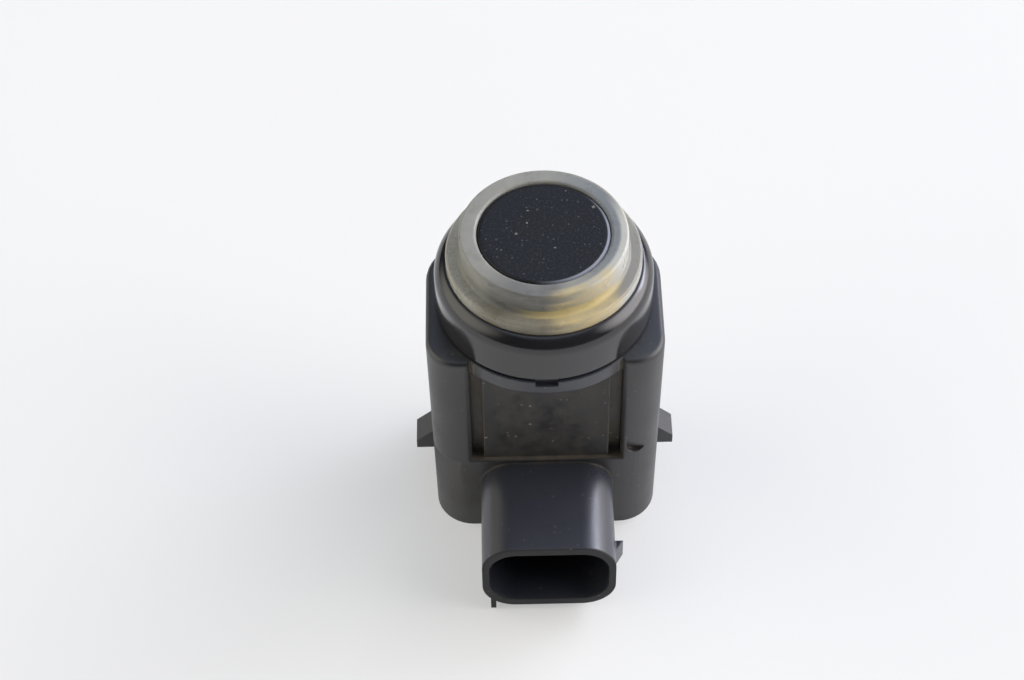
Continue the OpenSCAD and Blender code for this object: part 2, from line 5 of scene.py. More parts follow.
import json
import logging
import math
from dataclasses import dataclass
from enum import Enum
from typing import Any

import bpy
from mathutils import Matrix, Vector

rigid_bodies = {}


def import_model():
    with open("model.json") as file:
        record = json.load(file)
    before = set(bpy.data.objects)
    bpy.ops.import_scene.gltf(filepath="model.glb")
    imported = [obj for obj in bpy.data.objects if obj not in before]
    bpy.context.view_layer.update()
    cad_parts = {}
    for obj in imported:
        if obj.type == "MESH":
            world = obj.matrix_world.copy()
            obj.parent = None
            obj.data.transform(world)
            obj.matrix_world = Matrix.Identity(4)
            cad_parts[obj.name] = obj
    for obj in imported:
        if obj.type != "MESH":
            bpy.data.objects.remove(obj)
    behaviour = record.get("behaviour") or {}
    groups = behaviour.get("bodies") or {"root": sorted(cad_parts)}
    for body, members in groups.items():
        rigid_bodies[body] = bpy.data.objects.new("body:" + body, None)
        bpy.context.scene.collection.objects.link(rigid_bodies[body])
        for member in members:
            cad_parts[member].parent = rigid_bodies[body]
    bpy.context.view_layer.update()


log = logging.getLogger("parking_sensor")

Tree = bpy.types.NodeTree
Socket = bpy.types.NodeSocket

MM = 0.001
# Places of the colour sockets on a Mix node, whose names repeat for its other types
MIX_SHARE, MIX_BELOW, MIX_ABOVE, MIX_RESULT = 0, 6, 7, 2
# Rays with which a shader feels for a near edge or corner
PROBE_RAYS = 6
# What the wave pattern multiplies its coordinate by
WAVE_FACTOR = 20.0
# Scale of a grain that is drawn out along Z, and of one that isn't
DRAWN_OUT, EVEN = (1.0, 1.0, 0.06), (1.0, 1.0, 1.0)
# Scale that takes the height out of a place, so that only its way round the axis is left
LEVEL = (1.0, 1.0, 0.0)
# Values between which a cloud mostly stays, and how far it swings the roughness
CLOUD_LOW, CLOUD_HIGH = 0.3, 0.7
SHEEN_SWING = 0.05


class Grain(Enum):
    """How the surface of a finish was left by its making."""

    MOULDED = "moulded"
    CELLED = "celled"
    DRAWN = "drawn"
    WOUND = "wound"


def linear(colour: str) -> tuple[float, float, float, float]:
    """Turn an sRGB hex colour into linear RGBA.

    Args:
        colour: the colour as "#rrggbb".

    Returns:
        Its linear red, green and blue, and an alpha of 1.
    """
    shares = [int(colour[i:i + 2], 16) / 255 for i in (1, 3, 5)]
    values = [c / 12.92 if c <= 0.04045 else ((c + 0.055) / 1.055) ** 2.4 for c in shares]
    return (values[0], values[1], values[2], 1.0)


def per_metre(size_mm: float) -> float:
    """Scale of a pattern whose features are about size_mm apart."""
    return 1 / (size_mm * MM)


def toward(azimuth_deg: float, elevation_deg: float) -> Vector:
    """Unit vector to a place in the room, by its angle from +X and its angle over the table."""
    az, el = math.radians(azimuth_deg), math.radians(elevation_deg)
    return Vector((math.cos(az) * math.cos(el), math.sin(az) * math.cos(el), math.sin(el)))


def add_node(
    tree: Tree, kind: str, inputs: dict[Any, Any] | None = None, **settings: Any
) -> bpy.types.Node:
    """Add a node with its settings, and fill or link its inputs.

    Args:
        tree: the tree that takes the node.
        kind: the node's type name.
        inputs: input names or numbers, each with a constant or with a socket to link from.
        settings: properties of the node.

    Returns:
        The new node.
    """
    node = tree.nodes.new(kind)
    for name, value in settings.items():
        setattr(node, name, value)
    for key, value in (inputs or {}).items():
        if isinstance(value, Socket):
            tree.links.new(value, node.inputs[key])
        else:
            node.inputs[key].default_value = value
    return node


@dataclass(frozen=True)
class Surface:
    """A material in the making, with the sensor's own coordinates in metres. Masks run from 0 to 1."""

    tree: Tree
    shader: bpy.types.Node
    coords: Socket
    x: Socket
    y: Socket
    z: Socket

    def overlap(self, first: Any, *others: Any) -> Socket:
        """Multiply masks and shares.

        Args:
            first: a mask.
            others: more masks, or numbers that thin them.

        Returns:
            The mask that is 1 where all of them are.
        """
        for other in others:
            product = add_node(self.tree, "ShaderNodeMath", {0: first, 1: other}, operation="MULTIPLY")
            first = product.outputs[0]
        return first

    def union(self, first: Socket, *others: Socket) -> Socket:
        """Join masks.

        Args:
            first: a mask.
            others: more masks.

        Returns:
            The mask that is 1 where any of them is.
        """
        for other in others:
            larger = add_node(self.tree, "ShaderNodeMath", {0: first, 1: other}, operation="MAXIMUM")
            first = larger.outputs[0]
        return first

    def total(self, start: Any, *shares: tuple[Socket, float]) -> Socket:
        """Add masks to a start value.

        Args:
            start: the value where every mask is 0.
            shares: masks, each with what it adds where it is 1.

        Returns:
            The sum.
        """
        for mask, share in shares:
            added = add_node(self.tree, "ShaderNodeMath", {
                0: mask, 1: share, 2: start,
            }, operation="MULTIPLY_ADD")
            start = added.outputs[0]
        return start

    def lay(self, base: Any, *coats: tuple[Socket, Any]) -> Socket:
        """Lay colours over a base, each by its mask.

        Args:
            base: the colour at the bottom, as hex or as a socket.
            coats: masks, each with the colour that it lays.

        Returns:
            The finished colour.
        """
        below = linear(base) if isinstance(base, str) else base
        for mask, colour in coats:
            above = linear(colour) if isinstance(colour, str) else colour
            mix = add_node(self.tree, "ShaderNodeMix", {
                MIX_SHARE: mask, MIX_BELOW: below, MIX_ABOVE: above,
            }, data_type="RGBA")
            below = mix.outputs[MIX_RESULT]
        return below


@dataclass(frozen=True)
class Band:
    """A stretch along one coordinate in millimetres, with a fade outside each end."""

    low_mm: float
    high_mm: float
    soft_mm: float

    def mask(self, surface: Surface, value: Socket) -> Socket:
        """Mask of the stretch.

        Args:
            surface: the material in the making.
            value: the coordinate, in metres.

        Returns:
            The mask, 1 inside the stretch.
        """
        rise = add_node(surface.tree, "ShaderNodeMapRange", {
            "Value": value, "From Min": (self.low_mm - self.soft_mm) * MM, "From Max": self.low_mm * MM,
        }, interpolation_type="SMOOTHSTEP")
        fall = add_node(surface.tree, "ShaderNodeMapRange", {
            "Value": value, "From Min": self.high_mm * MM, "From Max": (self.high_mm + self.soft_mm) * MM,
            "To Min": 1.0, "To Max": 0.0,
        }, interpolation_type="SMOOTHSTEP")
        return surface.overlap(rise.outputs[0], fall.outputs[0])


@dataclass(frozen=True)
class Side:
    """One side of a round piece: its angle from +X, and the cosines to it where it starts and is full."""

    angle_deg: float
    start: float
    full: float

    def mask(self, surface: Surface) -> Socket:
        """Mask of the side.

        Args:
            surface: the material in the making.

        Returns:
            The mask, 1 in the middle of the side.
        """
        level = add_node(surface.tree, "ShaderNodeMapping", {"Vector": surface.coords, "Scale": LEVEL})
        around = add_node(surface.tree, "ShaderNodeVectorMath", {0: level.outputs[0]}, operation="NORMALIZE")
        cosine = add_node(surface.tree, "ShaderNodeVectorMath", {
            0: around.outputs[0], 1: toward(self.angle_deg, 0.0),
        }, operation="DOT_PRODUCT")
        return add_node(surface.tree, "ShaderNodeMapRange", {
            "Value": cosine.outputs["Value"], "From Min": self.start, "From Max": self.full,
        }, interpolation_type="SMOOTHSTEP").outputs[0]


@dataclass(frozen=True)
class Hoop:
    """A hoop round the sensor's axis, by its radii and its heights over the rear rim."""

    radius: Band
    height: Band

    def mask(self, surface: Surface) -> Socket:
        """Mask of the hoop.

        Args:
            surface: the material in the making.

        Returns:
            The mask, 1 inside the hoop.
        """
        level = add_node(surface.tree, "ShaderNodeMapping", {"Vector": surface.coords, "Scale": LEVEL})
        out = add_node(surface.tree, "ShaderNodeVectorMath", {0: level.outputs[0]}, operation="LENGTH")
        return surface.overlap(
            self.radius.mask(surface, out.outputs["Value"]), self.height.mask(surface, surface.z),
        )


@dataclass(frozen=True)
class Scatter:
    """Dust specks of uneven size: the distance between places, the largest radius and the share filled."""

    spacing_mm: float
    size_mm: float
    share: float

    def mask(self, surface: Surface) -> Socket:
        """Mask of the specks, with ragged outlines.

        Args:
            surface: the material in the making.

        Returns:
            The mask, 1 on a speck.
        """
        tree = surface.tree
        ripple = add_node(tree, "ShaderNodeTexNoise", {
            "Vector": surface.coords, "Scale": per_metre(self.size_mm), "Detail": 1.0,
        })
        ragged = add_node(tree, "ShaderNodeVectorMath", {
            0: ripple.outputs["Color"], 1: (self.size_mm * MM,) * 3, 2: surface.coords,
        }, operation="MULTIPLY_ADD")
        cells = add_node(tree, "ShaderNodeTexVoronoi", {
            "Vector": ragged.outputs[0], "Scale": per_metre(self.spacing_mm),
        })
        lot = add_node(tree, "ShaderNodeSeparateColor", {0: cells.outputs["Color"]})
        reach = add_node(tree, "ShaderNodeMapRange", {
            "Value": lot.outputs[0], "From Min": 1 - self.share, "From Max": 1.0,
            "To Min": 0.0, "To Max": self.size_mm / self.spacing_mm,
        })
        return add_node(tree, "ShaderNodeMath", {
            0: cells.outputs["Distance"], 1: reach.outputs[0],
        }, operation="LESS_THAN").outputs[0]


@dataclass(frozen=True)
class Finish:
    """What a piece is made of, with the values that every finish has.

    Grain, mottle and edge sizes are in millimetres on the object.
    """

    name: str
    colour: str
    light_colour: str
    roughness: float
    ior: float = 1.5
    metallic: float = 0.0
    grain_mm: float = 0.3
    grain_depth_mm: float = 0.006
    mottle_mm: float = 4.0
    edge_mm: float = 0.12
    grain: Grain = Grain.MOULDED

    def start(self) -> Surface:
        """Make the material with its bare shader.

        Returns:
            The material in the making.
        """
        material = bpy.data.materials.new(self.name)
        material.use_nodes = True
        material.diffuse_color = linear(self.colour)
        tree = material.node_tree
        tree.nodes.clear()
        inputs = {"Metallic": self.metallic}
        if not self.metallic:
            inputs["IOR"] = self.ior
        shader = add_node(tree, "ShaderNodeBsdfPrincipled", inputs)
        add_node(tree, "ShaderNodeOutputMaterial", {"Surface": shader.outputs[0]})
        coords = add_node(tree, "ShaderNodeTexCoord").outputs["Object"]
        split = add_node(tree, "ShaderNodeSeparateXYZ", {0: coords})
        return Surface(tree, shader, coords, *split.outputs)

    def rounded(self, surface: Surface) -> Socket:
        """Normal that runs round the small radius a mould or a press leaves on every edge."""
        return add_node(
            surface.tree, "ShaderNodeBevel", {"Radius": self.edge_mm * MM}, samples=PROBE_RAYS,
        ).outputs[0]

    def height(self, surface: Surface) -> Socket:
        """Height pattern of the surface, from 0 to 1.

        Args:
            surface: the material in the making.

        Returns:
            The height.
        """
        tree, scale = surface.tree, per_metre(self.grain_mm)
        if self.grain is Grain.CELLED:
            cells = add_node(tree, "ShaderNodeTexVoronoi", {"Vector": surface.coords, "Scale": scale})
            return cells.outputs["Distance"]
        if self.grain is Grain.WOUND:
            return add_node(tree, "ShaderNodeTexWave", {
                "Vector": surface.coords, "Scale": scale / WAVE_FACTOR, "Distortion": 0.3,
            }, wave_type="BANDS", bands_direction="Z").outputs["Fac"]
        lie = add_node(tree, "ShaderNodeMapping", {
            "Vector": surface.coords, "Scale": DRAWN_OUT if self.grain is Grain.DRAWN else EVEN,
        })
        return add_node(tree, "ShaderNodeTexNoise", {
            "Vector": lie.outputs[0], "Scale": scale, "Detail": 2.0,
        }).outputs[0]

    def cloud(self, surface: Surface) -> Socket:
        """Slow cloud over the surface, from 0 to 1."""
        return add_node(surface.tree, "ShaderNodeTexNoise", {
            "Vector": surface.coords, "Scale": per_metre(self.mottle_mm), "Detail": 3.0,
        }).outputs[0]

    def sheen(self, surface: Surface, cloud: Socket) -> Socket:
        """Roughness that varies a little with the cloud."""
        return add_node(surface.tree, "ShaderNodeMapRange", {
            "Value": cloud, "From Min": CLOUD_LOW, "From Max": CLOUD_HIGH,
            "To Min": self.roughness - SHEEN_SWING, "To Max": self.roughness + SHEEN_SWING,
        }).outputs[0]

    def close(self, surface: Surface, colour: Socket, sheen: Socket) -> bpy.types.Material:
        """Link colour, sheen and grain to the shader.

        Args:
            surface: the material in the making.
            colour: the finished colour.
            sheen: the finished roughness.

        Returns:
            The finished material.
        """
        tree, shader = surface.tree, surface.shader
        bump = add_node(tree, "ShaderNodeBump", {
            "Strength": 1.0, "Distance": self.grain_depth_mm * MM,
            "Height": self.height(surface), "Normal": self.rounded(surface),
        })
        tree.links.new(colour, shader.inputs["Base Color"])
        tree.links.new(sheen, shader.inputs["Roughness"])
        tree.links.new(bump.outputs[0], shader.inputs["Normal"])
        return bpy.data.materials[self.name]

    def material(self) -> bpy.types.Material:
        """Build the finish: a clouded colour, an uneven sheen and the grain of its making.

        Returns:
            The new material.
        """
        surface = self.start()
        cloud = self.cloud(surface)
        colour = surface.lay(self.colour, (cloud, self.light_colour))
        return self.close(surface, colour, self.sheen(surface, cloud))


@dataclass(frozen=True)
class DustyNylon(Finish):
    """Glass-filled nylon, moulded: black and satin, with road dust where nothing wipes it.

    The dust lies in the sunken panel, thinly on the pillars beside it and thickly in the grooves and on the
    ledge round it; brown grime sits in the inner corners. The panel darkens towards its sides with painted
    shade. The plug shroud is cleaner, its bluish tone partly a painted reflection of the sky, with a matt rim
    darkened by painted shade. Bands run across from the middle, along Y from the axis, or up from the rear
    rim.
    """

    dust_colour: str = "#6f6755"
    grit_colour: str = "#aaa294"
    grime_colour: str = "#494137"
    groove_colour: str = "#6d6455"
    # Painted shade: the sunken panel darkens towards its sides beside the pillars.
    border_shade_colour: str = "#131417"
    # The shroud's own clean plastic, made bluish and lighter by a painted reflection of the sky.
    shroud_colour_and_sky: str = "#30323b"
    # Painted shade: the shroud's front rim is darker. The rim is also matt, through its roughness.
    rim_shade_colour: str = "#1c1d21"
    front_y: Band = Band(-10.6, -7.9, 0.3)
    body_y: Band = Band(-10.6, 20.0, 0.6)
    rim_y: Band = Band(-30.0, -23.1, 0.1)
    panel_across: Band = Band(-1.0, 9.0, 0.6)
    panel_z: Band = Band(13.6, 32.0, 0.3)
    border_shade_across: Band = Band(7.6, 20.0, 2.4)
    border_shade_share: float = 0.45
    groove_across: Band = Band(7.6, 9.0, 0.15)
    ledge_z: Band = Band(12.9, 13.42, 0.1)
    sunken_across: Band = Band(-1.0, 9.0, 0.15)
    sunken_y: Band = Band(-10.1, -8.0, 0.15)
    sunken_z: Band = Band(12.9, 32.0, 0.3)
    groove_share: float = 0.75
    groove_thinnest: float = 0.6
    smear_x: Band = Band(-11.5, -8.6, 1.2)
    smear_z: Band = Band(4.5, 11.5, 1.5)
    body_dust: float = 0.01
    pillar_dust: float = 0.07
    panel_dust: float = 0.24
    smear_dust: float = 0.22
    film_mm: float = 1.8
    film_low: float = 0.36
    film_high: float = 0.68
    film_thinnest: float = 0.1
    grit: Scatter = Scatter(0.9, 0.22, 0.4)
    body_grit: float = 0.14
    panel_grit: float = 0.5
    corner_mm: float = 1.6
    corner_starts: float = 0.8
    corner_full: float = 0.4
    body_dulling: float = 0.1
    dust_dulling: float = 0.9
    rim_dulling: float = 0.45

    def film(self, surface: Surface) -> Socket:
        """Uneven thickness of the dust film, from film_thinnest to 1.

        Args:
            surface: the material in the making.

        Returns:
            The thickness.
        """
        noise = add_node(surface.tree, "ShaderNodeTexNoise", {
            "Vector": surface.coords, "Scale": per_metre(self.film_mm), "Detail": 6.0, "Roughness": 0.65,
        })
        return add_node(surface.tree, "ShaderNodeMapRange", {
            "Value": noise.outputs[0], "From Min": self.film_low, "From Max": self.film_high,
            "To Min": self.film_thinnest, "To Max": 1.0,
        }).outputs[0]

    def panel_masks(self, surface: Surface, front: Socket, film: Socket) -> tuple[Socket, Socket, Socket]:
        """Masks of the sunken panel, the painted shade along its sides and the dust in the grooves and on the
        ledge.

        Args:
            surface: the material in the making.
            front: the front's mask.
            film: the uneven thickness.

        Returns:
            The masks of the panel, its painted side shade and the settled dust.
        """
        aside = add_node(surface.tree, "ShaderNodeMath", {0: surface.x}, operation="ABSOLUTE").outputs[0]
        panel = surface.overlap(
            self.panel_across.mask(surface, aside), front, self.panel_z.mask(surface, surface.z),
        )
        # Painted shade: the panel darkens towards its sides.
        border_shade = surface.overlap(self.border_shade_across.mask(surface, aside), self.border_shade_share, panel)
        groove = self.groove_across.mask(surface, aside)
        ledge = self.ledge_z.mask(surface, surface.z)
        uneven = add_node(surface.tree, "ShaderNodeMapRange", {
            "Value": film, "To Min": self.groove_thinnest, "To Max": 1.0,
        }).outputs[0]
        settled = surface.overlap(
            surface.union(groove, ledge), self.sunken_across.mask(surface, aside),
            self.sunken_y.mask(surface, surface.y), self.sunken_z.mask(surface, surface.z),
            uneven, self.groove_share,
        )
        return panel, border_shade, settled

    def grime(self, surface: Surface, film: Socket, front: Socket) -> Socket:
        """Mask of the dirt in the front's inner corners.

        Args:
            surface: the material in the making.
            film: the uneven thickness.
            front: the front's mask.

        Returns:
            The mask.
        """
        openness = add_node(surface.tree, "ShaderNodeAmbientOcclusion", {
            "Distance": self.corner_mm * MM,
        }, samples=PROBE_RAYS, only_local=True).outputs["AO"]
        corner = add_node(surface.tree, "ShaderNodeMapRange", {
            "Value": openness, "From Min": self.corner_starts, "From Max": self.corner_full,
        }).outputs[0]
        return surface.overlap(corner, film, front)

    def material(self) -> bpy.types.Material:
        """Build the nylon with its dust film, grit, grime, painted shade, painted sky reflection and
        spark-eroded grain.

        Returns:
            The new material.
        """
        surface = self.start()
        cloud = self.cloud(surface)
        film = self.film(surface)
        front = self.front_y.mask(surface, surface.y)
        body = self.body_y.mask(surface, surface.y)
        rim = self.rim_y.mask(surface, surface.y)
        panel, border_shade, settled = self.panel_masks(surface, front, film)
        smear = surface.overlap(
            self.smear_x.mask(surface, surface.x), self.smear_z.mask(surface, surface.z), front,
        )
        dust = surface.overlap(surface.total(
            self.body_dust, (front, self.pillar_dust), (panel, self.panel_dust), (smear, self.smear_dust),
        ), film)
        caught = surface.total(self.body_grit, (panel, self.panel_grit))
        grit = surface.overlap(self.grit.mask(surface), caught, film)
        # Painted reflection of the sky on the shroud, and painted shade on its front rim.
        shroud = surface.lay(self.shroud_colour_and_sky, (rim, self.rim_shade_colour))
        clouded = surface.lay(self.colour, (cloud, self.light_colour))
        # The panel's painted side shade lies over its dust.
        colour = surface.lay(
            shroud, (body, clouded), (dust, self.dust_colour), (border_shade, self.border_shade_colour),
            (self.grime(surface, film, front), self.grime_colour), (settled, self.groove_colour),
            (grit, self.grit_colour),
        )
        sheen = surface.total(
            self.sheen(surface, cloud), (body, self.body_dulling), (dust, self.dust_dulling),
            (rim, self.rim_dulling),
        )
        return self.close(surface, colour, sheen)


@dataclass(frozen=True)
class CastSilicone(Finish):
    """Silicone rubber, cast: cloudy grey, painted shade in front and on top, painted light on one side, amber
    between.

    Heights are from the rear rim, radii from the sensor's axis.
    """

    flange_grey: str = "#9d9a8e"
    # Painted shade: the flange is darker in front.
    flange_front_shade: str = "#7d7766"
    # Painted light and shade on the light side: the flange's top shelf there is lighter than the ring and
    # darker than the walls.
    shelf_lit_side_grey: str = "#908e86"
    # Painted shade: the ring is darker in front.
    front_shade_grey: str = "#6a6a67"
    # The ring's top towards the back right is greyer: partly its own tone, partly painted shade.
    top_grey_and_shade: str = "#7d8183"
    # Pale: the flange's mould lines, and painted light on the ring's walls on the light side.
    pale: str = "#bbbbb3"
    # Amber and yellow: partly the silicone's ageing, partly painted light shining through it on the front
    # right.
    amber: str = "#c6b68a"
    yellow: str = "#d3c28c"
    front_side: Side = Side(-105.0, 0.8, 0.97)
    light_side: Side = Side(-18.0, 0.55, 0.93)
    top_side: Side = Side(8.0, 0.1, 0.95)
    amber_side: Side = Side(-62.0, 0.86, 0.97)
    yellow_side: Side = Side(-68.0, 0.68, 1.0)
    flange_z: Band = Band(38.5, 40.7, 0.12)
    flange_wall_z: Band = Band(39.0, 40.3, 0.2)
    neck_wall_z: Band = Band(41.15, 43.3, 0.25)
    shelf_z: Band = Band(40.5, 40.8, 0.1)
    root: Hoop = Hoop(Band(9.7, 10.25, 0.3), Band(40.65, 41.2, 0.3))
    brim: Hoop = Hoop(Band(9.2, 10.2, 0.5), Band(43.3, 44.2, 0.5))
    top: Hoop = Hoop(Band(7.0, 9.3, 0.4), Band(43.3, 44.2, 0.4))
    streak_mm: float = 0.9
    streak_lie: tuple[float, float, float] = (0.22, 0.22, 1.0)
    streak_low: float = 0.35
    streak_high: float = 0.65
    amber_thinnest: float = 0.25
    front_thinnest: float = 0.5
    line_low: float = 0.4
    line_high: float = 0.62
    line_share: float = 0.35
    inner_light: float = 0.45
    inner_reach: tuple[float, float, float] = (1.0, 0.85, 0.5)
    depth_mm: float = 0.8

    def streaks(self, surface: Surface) -> Socket:
        """Level streaks that the rubber took while it flowed round the ring, from 0 to 1.

        Args:
            surface: the material in the making.

        Returns:
            The streaks.
        """
        flow = add_node(surface.tree, "ShaderNodeMapping", {
            "Vector": surface.coords, "Scale": self.streak_lie,
        })
        noise = add_node(surface.tree, "ShaderNodeTexNoise", {
            "Vector": flow.outputs[0], "Scale": per_metre(self.streak_mm), "Detail": 4.0,
        })
        return add_node(surface.tree, "ShaderNodeMapRange", {
            "Value": noise.outputs[0], "From Min": self.streak_low, "From Max": self.streak_high,
        }).outputs[0]

    def age_masks(self, surface: Surface, flange: Socket, neck: Socket) -> tuple[Socket, Socket, Socket]:
        """Masks of the painted shade in front, the amber streaks and the yellow round the neck's root, which
        are partly aged silicone and partly painted light shining through.

        Args:
            surface: the material in the making.
            flange: the flange's mask.
            neck: the mask of the neck's wall and brim.

        Returns:
            The masks of the front, the amber and the yellow.
        """
        streaks = self.streaks(surface)
        front_share = add_node(surface.tree, "ShaderNodeMapRange", {
            "Value": streaks, "To Min": 1.0, "To Max": self.front_thinnest,
        }).outputs[0]
        amber_share = add_node(surface.tree, "ShaderNodeMapRange", {
            "Value": streaks, "To Min": self.amber_thinnest, "To Max": 1.0,
        }).outputs[0]
        # Painted shade in front, thinned along the streaks.
        front = surface.overlap(self.front_side.mask(surface), front_share)
        # Amber and yellow: partly aged silicone, partly painted light shining through.
        amber = surface.overlap(surface.union(flange, neck), self.amber_side.mask(surface), amber_share)
        yellow = surface.overlap(self.root.mask(surface), self.yellow_side.mask(surface))
        return front, amber, yellow

    def material(self) -> bpy.types.Material:
        """Build the silicone with light inside, its sides painted with light and shade, and fine upright
        mould lines.

        Returns:
            The new material.
        """
        surface = self.start()
        cloud = self.cloud(surface)
        light = self.light_side.mask(surface)
        flange = self.flange_z.mask(surface, surface.z)
        neck = surface.union(self.brim.mask(surface), self.neck_wall_z.mask(surface, surface.z))
        walls = surface.union(self.flange_wall_z.mask(surface, surface.z), neck)
        shelf = surface.overlap(self.shelf_z.mask(surface, surface.z), light)
        top = surface.overlap(self.top.mask(surface), self.top_side.mask(surface))
        front, amber, yellow = self.age_masks(surface, flange, neck)
        lines = add_node(surface.tree, "ShaderNodeMapRange", {
            "Value": self.height(surface), "From Min": self.line_low, "From Max": self.line_high,
            "To Min": 0.0, "To Max": self.line_share,
        }).outputs[0]
        # The flange's mould lines in pale, with painted shade in front.
        lined = surface.lay(self.flange_grey, (lines, self.pale), (front, self.flange_front_shade))
        # Painted shade in front and on top, painted light on the light side's shelf and walls.
        colour = surface.lay(
            self.colour, (cloud, self.light_colour), (front, self.front_shade_grey), (flange, lined),
            (shelf, self.shelf_lit_side_grey), (top, self.top_grey_and_shade), (surface.overlap(walls, light), self.pale),
            (amber, self.amber), (yellow, self.yellow),
        )
        inputs = surface.shader.inputs
        inputs["Subsurface Weight"].default_value = self.inner_light
        inputs["Subsurface Radius"].default_value = self.inner_reach
        inputs["Subsurface Scale"].default_value = self.depth_mm * MM
        return self.close(surface, colour, self.sheen(surface, cloud))


@dataclass(frozen=True)
class PrimedAluminium(Finish):
    """Aluminium under a black sprayed primer: near matt, dust specks lying on it, a painted highlight on one
    edge.
    """

    speck_colour: str = "#8b877c"
    grit_colour: str = "#6f6e6a"
    spray_colour: str = "#33363b"
    # Painted highlight: the cup's rounded edge drawn pale on one side, where it mirrors the window.
    edge_highlight_colour: str = "#9a9da8"
    spray_mm: float = 0.3
    spray_low: float = 0.5
    spray_high: float = 0.72
    spray_share: float = 0.6
    fine: Scatter = Scatter(0.6, 0.13, 0.7)
    fine_share: float = 0.35
    coarse: Scatter = Scatter(1.5, 0.2, 0.6)
    coarse_share: float = 0.65
    edge_highlight: Hoop = Hoop(Band(7.5, 7.9, 0.15), Band(43.0, 45.0, 0.15))
    edge_highlight_side: Side = Side(-25.0, 0.2, 0.92)
    edge_highlight_share: float = 0.8

    def material(self) -> bpy.types.Material:
        """Build the primer with its spray grain, the dust on it and the painted highlight on its edge.

        Returns:
            The new material.
        """
        surface = self.start()
        cloud = self.cloud(surface)
        noise = add_node(surface.tree, "ShaderNodeTexNoise", {
            "Vector": surface.coords, "Scale": per_metre(self.spray_mm), "Detail": 2.0, "Roughness": 0.7,
        })
        spray = add_node(surface.tree, "ShaderNodeMapRange", {
            "Value": noise.outputs[0], "From Min": self.spray_low, "From Max": self.spray_high,
            "To Min": 0.0, "To Max": self.spray_share,
        }).outputs[0]
        fine = surface.overlap(self.fine.mask(surface), self.fine_share)
        coarse = surface.overlap(self.coarse.mask(surface), self.coarse_share)
        # Painted highlight on the cup's edge.
        edge_highlight = surface.overlap(self.edge_highlight.mask(surface), self.edge_highlight_side.mask(surface), self.edge_highlight_share)
        colour = surface.lay(
            self.colour, (cloud, self.light_colour), (spray, self.spray_colour), (fine, self.grit_colour),
            (coarse, self.speck_colour), (edge_highlight, self.edge_highlight_colour),
        )
        return self.close(surface, colour, self.sheen(surface, cloud))


# Black nylon straight from a spark-eroded mould: a satin sheen and a fine even grain.
HOUSING_NYLON = DustyNylon(
    "glass_filled_nylon_moulded", "#27282c", "#2f3034", 0.31, ior=1.62, grain_mm=0.3, grain_depth_mm=0.01,
    mottle_mm=7.0, edge_mm=0.32,
)
# The same plastic from a polished mould: smoother, with a clear highlight on the shoulder.
COLLAR_NYLON = Finish(
    "polished_nylon_moulded", "#202023", "#272729", 0.16, ior=1.62, grain_mm=0.5, grain_depth_mm=0.004,
    mottle_mm=5.0, edge_mm=0.15,
)
# Cast silicone: cloudy, with a soft sheen, and light spreads nearly a millimetre inside it.
RING_SILICONE = CastSilicone(
    "silicone_rubber_cast", "#82827b", "#a2a199", 0.3, ior=1.41, grain_mm=0.4, grain_depth_mm=0.012,
    mottle_mm=2.2, edge_mm=0.15, grain=Grain.DRAWN,
)
# Sprayed primer on aluminium: near matt, bluish black, a faint orange peel.
CUP_PRIMER = PrimedAluminium(
    "aluminium_primed_black", "#090b11", "#12110f", 0.42, ior=1.39, grain_mm=0.35, grain_depth_mm=0.006,
    mottle_mm=4.0, edge_mm=0.7,
)
# Sintered ceramic with a fired silver face: pale, dull and slightly grainy.
PIEZO_CERAMIC = Finish("piezo_ceramic_sintered", "#c4bb9a", "#d6cfb4", 0.5, ior=2.0, grain_mm=0.2)
# Soft silicone poured in: milky, smooth on top.
SOFT_FILLER = Finish("silicone_gel_poured", "#b9b5a8", "#cbc8bd", 0.3, ior=1.41, grain_mm=1.2)
# Die-cut foam: open cells that make it dull and dark between them.
CUT_FOAM = Finish(
    "polyurethane_foam_cut", "#565656", "#6e6e6e", 0.9, grain_mm=0.6, grain_depth_mm=0.12, grain=Grain.CELLED,
)
# Extruded insulation: smooth, with faint lines along the wire.
RED_INSULATION = Finish("vinyl_extruded_red", "#a83526", "#bd4a38", 0.4, grain_mm=0.3, grain=Grain.DRAWN)
BLUE_INSULATION = Finish("vinyl_extruded_blue", "#22324a", "#2f4260", 0.4, grain_mm=0.3, grain=Grain.DRAWN)
# Glass laminate under green solder mask: a weave that just shows through a glossy coat.
BOARD_LAMINATE = Finish(
    "glass_laminate_pressed", "#24502f", "#31633c", 0.28, ior=1.55, grain_mm=0.5, grain_depth_mm=0.01,
    grain=Grain.CELLED,
)
# Epoxy moulded round the chip and the other cases: dull black with a fine grain.
CASE_EPOXY = Finish("epoxy_moulded", "#1a1a1c", "#232326", 0.55, ior=1.55, grain_mm=0.15)
# Enamelled copper wire laid in turns: a bright ridge for each turn.
WOUND_COPPER = Finish(
    "copper_wire_wound", "#b5673a", "#c98055", 0.3, metallic=1.0, grain_mm=0.3, grain_depth_mm=0.06,
    grain=Grain.WOUND,
)
# Ferrite, pressed and fired: dark grey, stony.
FIRED_FERRITE = Finish("ferrite_fired", "#454548", "#545457", 0.6, ior=2.0, grain_mm=0.2)
# Aluminium drawn into a can: bright, with lines along the draw.
DRAWN_ALUMINIUM = Finish(
    "aluminium_drawn", "#b8bbbf", "#c8cbce", 0.3, metallic=1.0, grain_mm=0.25, grain=Grain.DRAWN,
)
# Tin dipped on copper: bright and slightly cloudy.
TINNED_COPPER = Finish("tin_dipped", "#bfc1c4", "#d0d2d4", 0.28, metallic=1.0, grain_mm=0.3)
# Small fired ceramic bodies: tan and matt.
FIRED_CERAMIC = Finish("ceramic_fired", "#9d8461", "#b49a76", 0.5, ior=1.7, grain_mm=0.15)
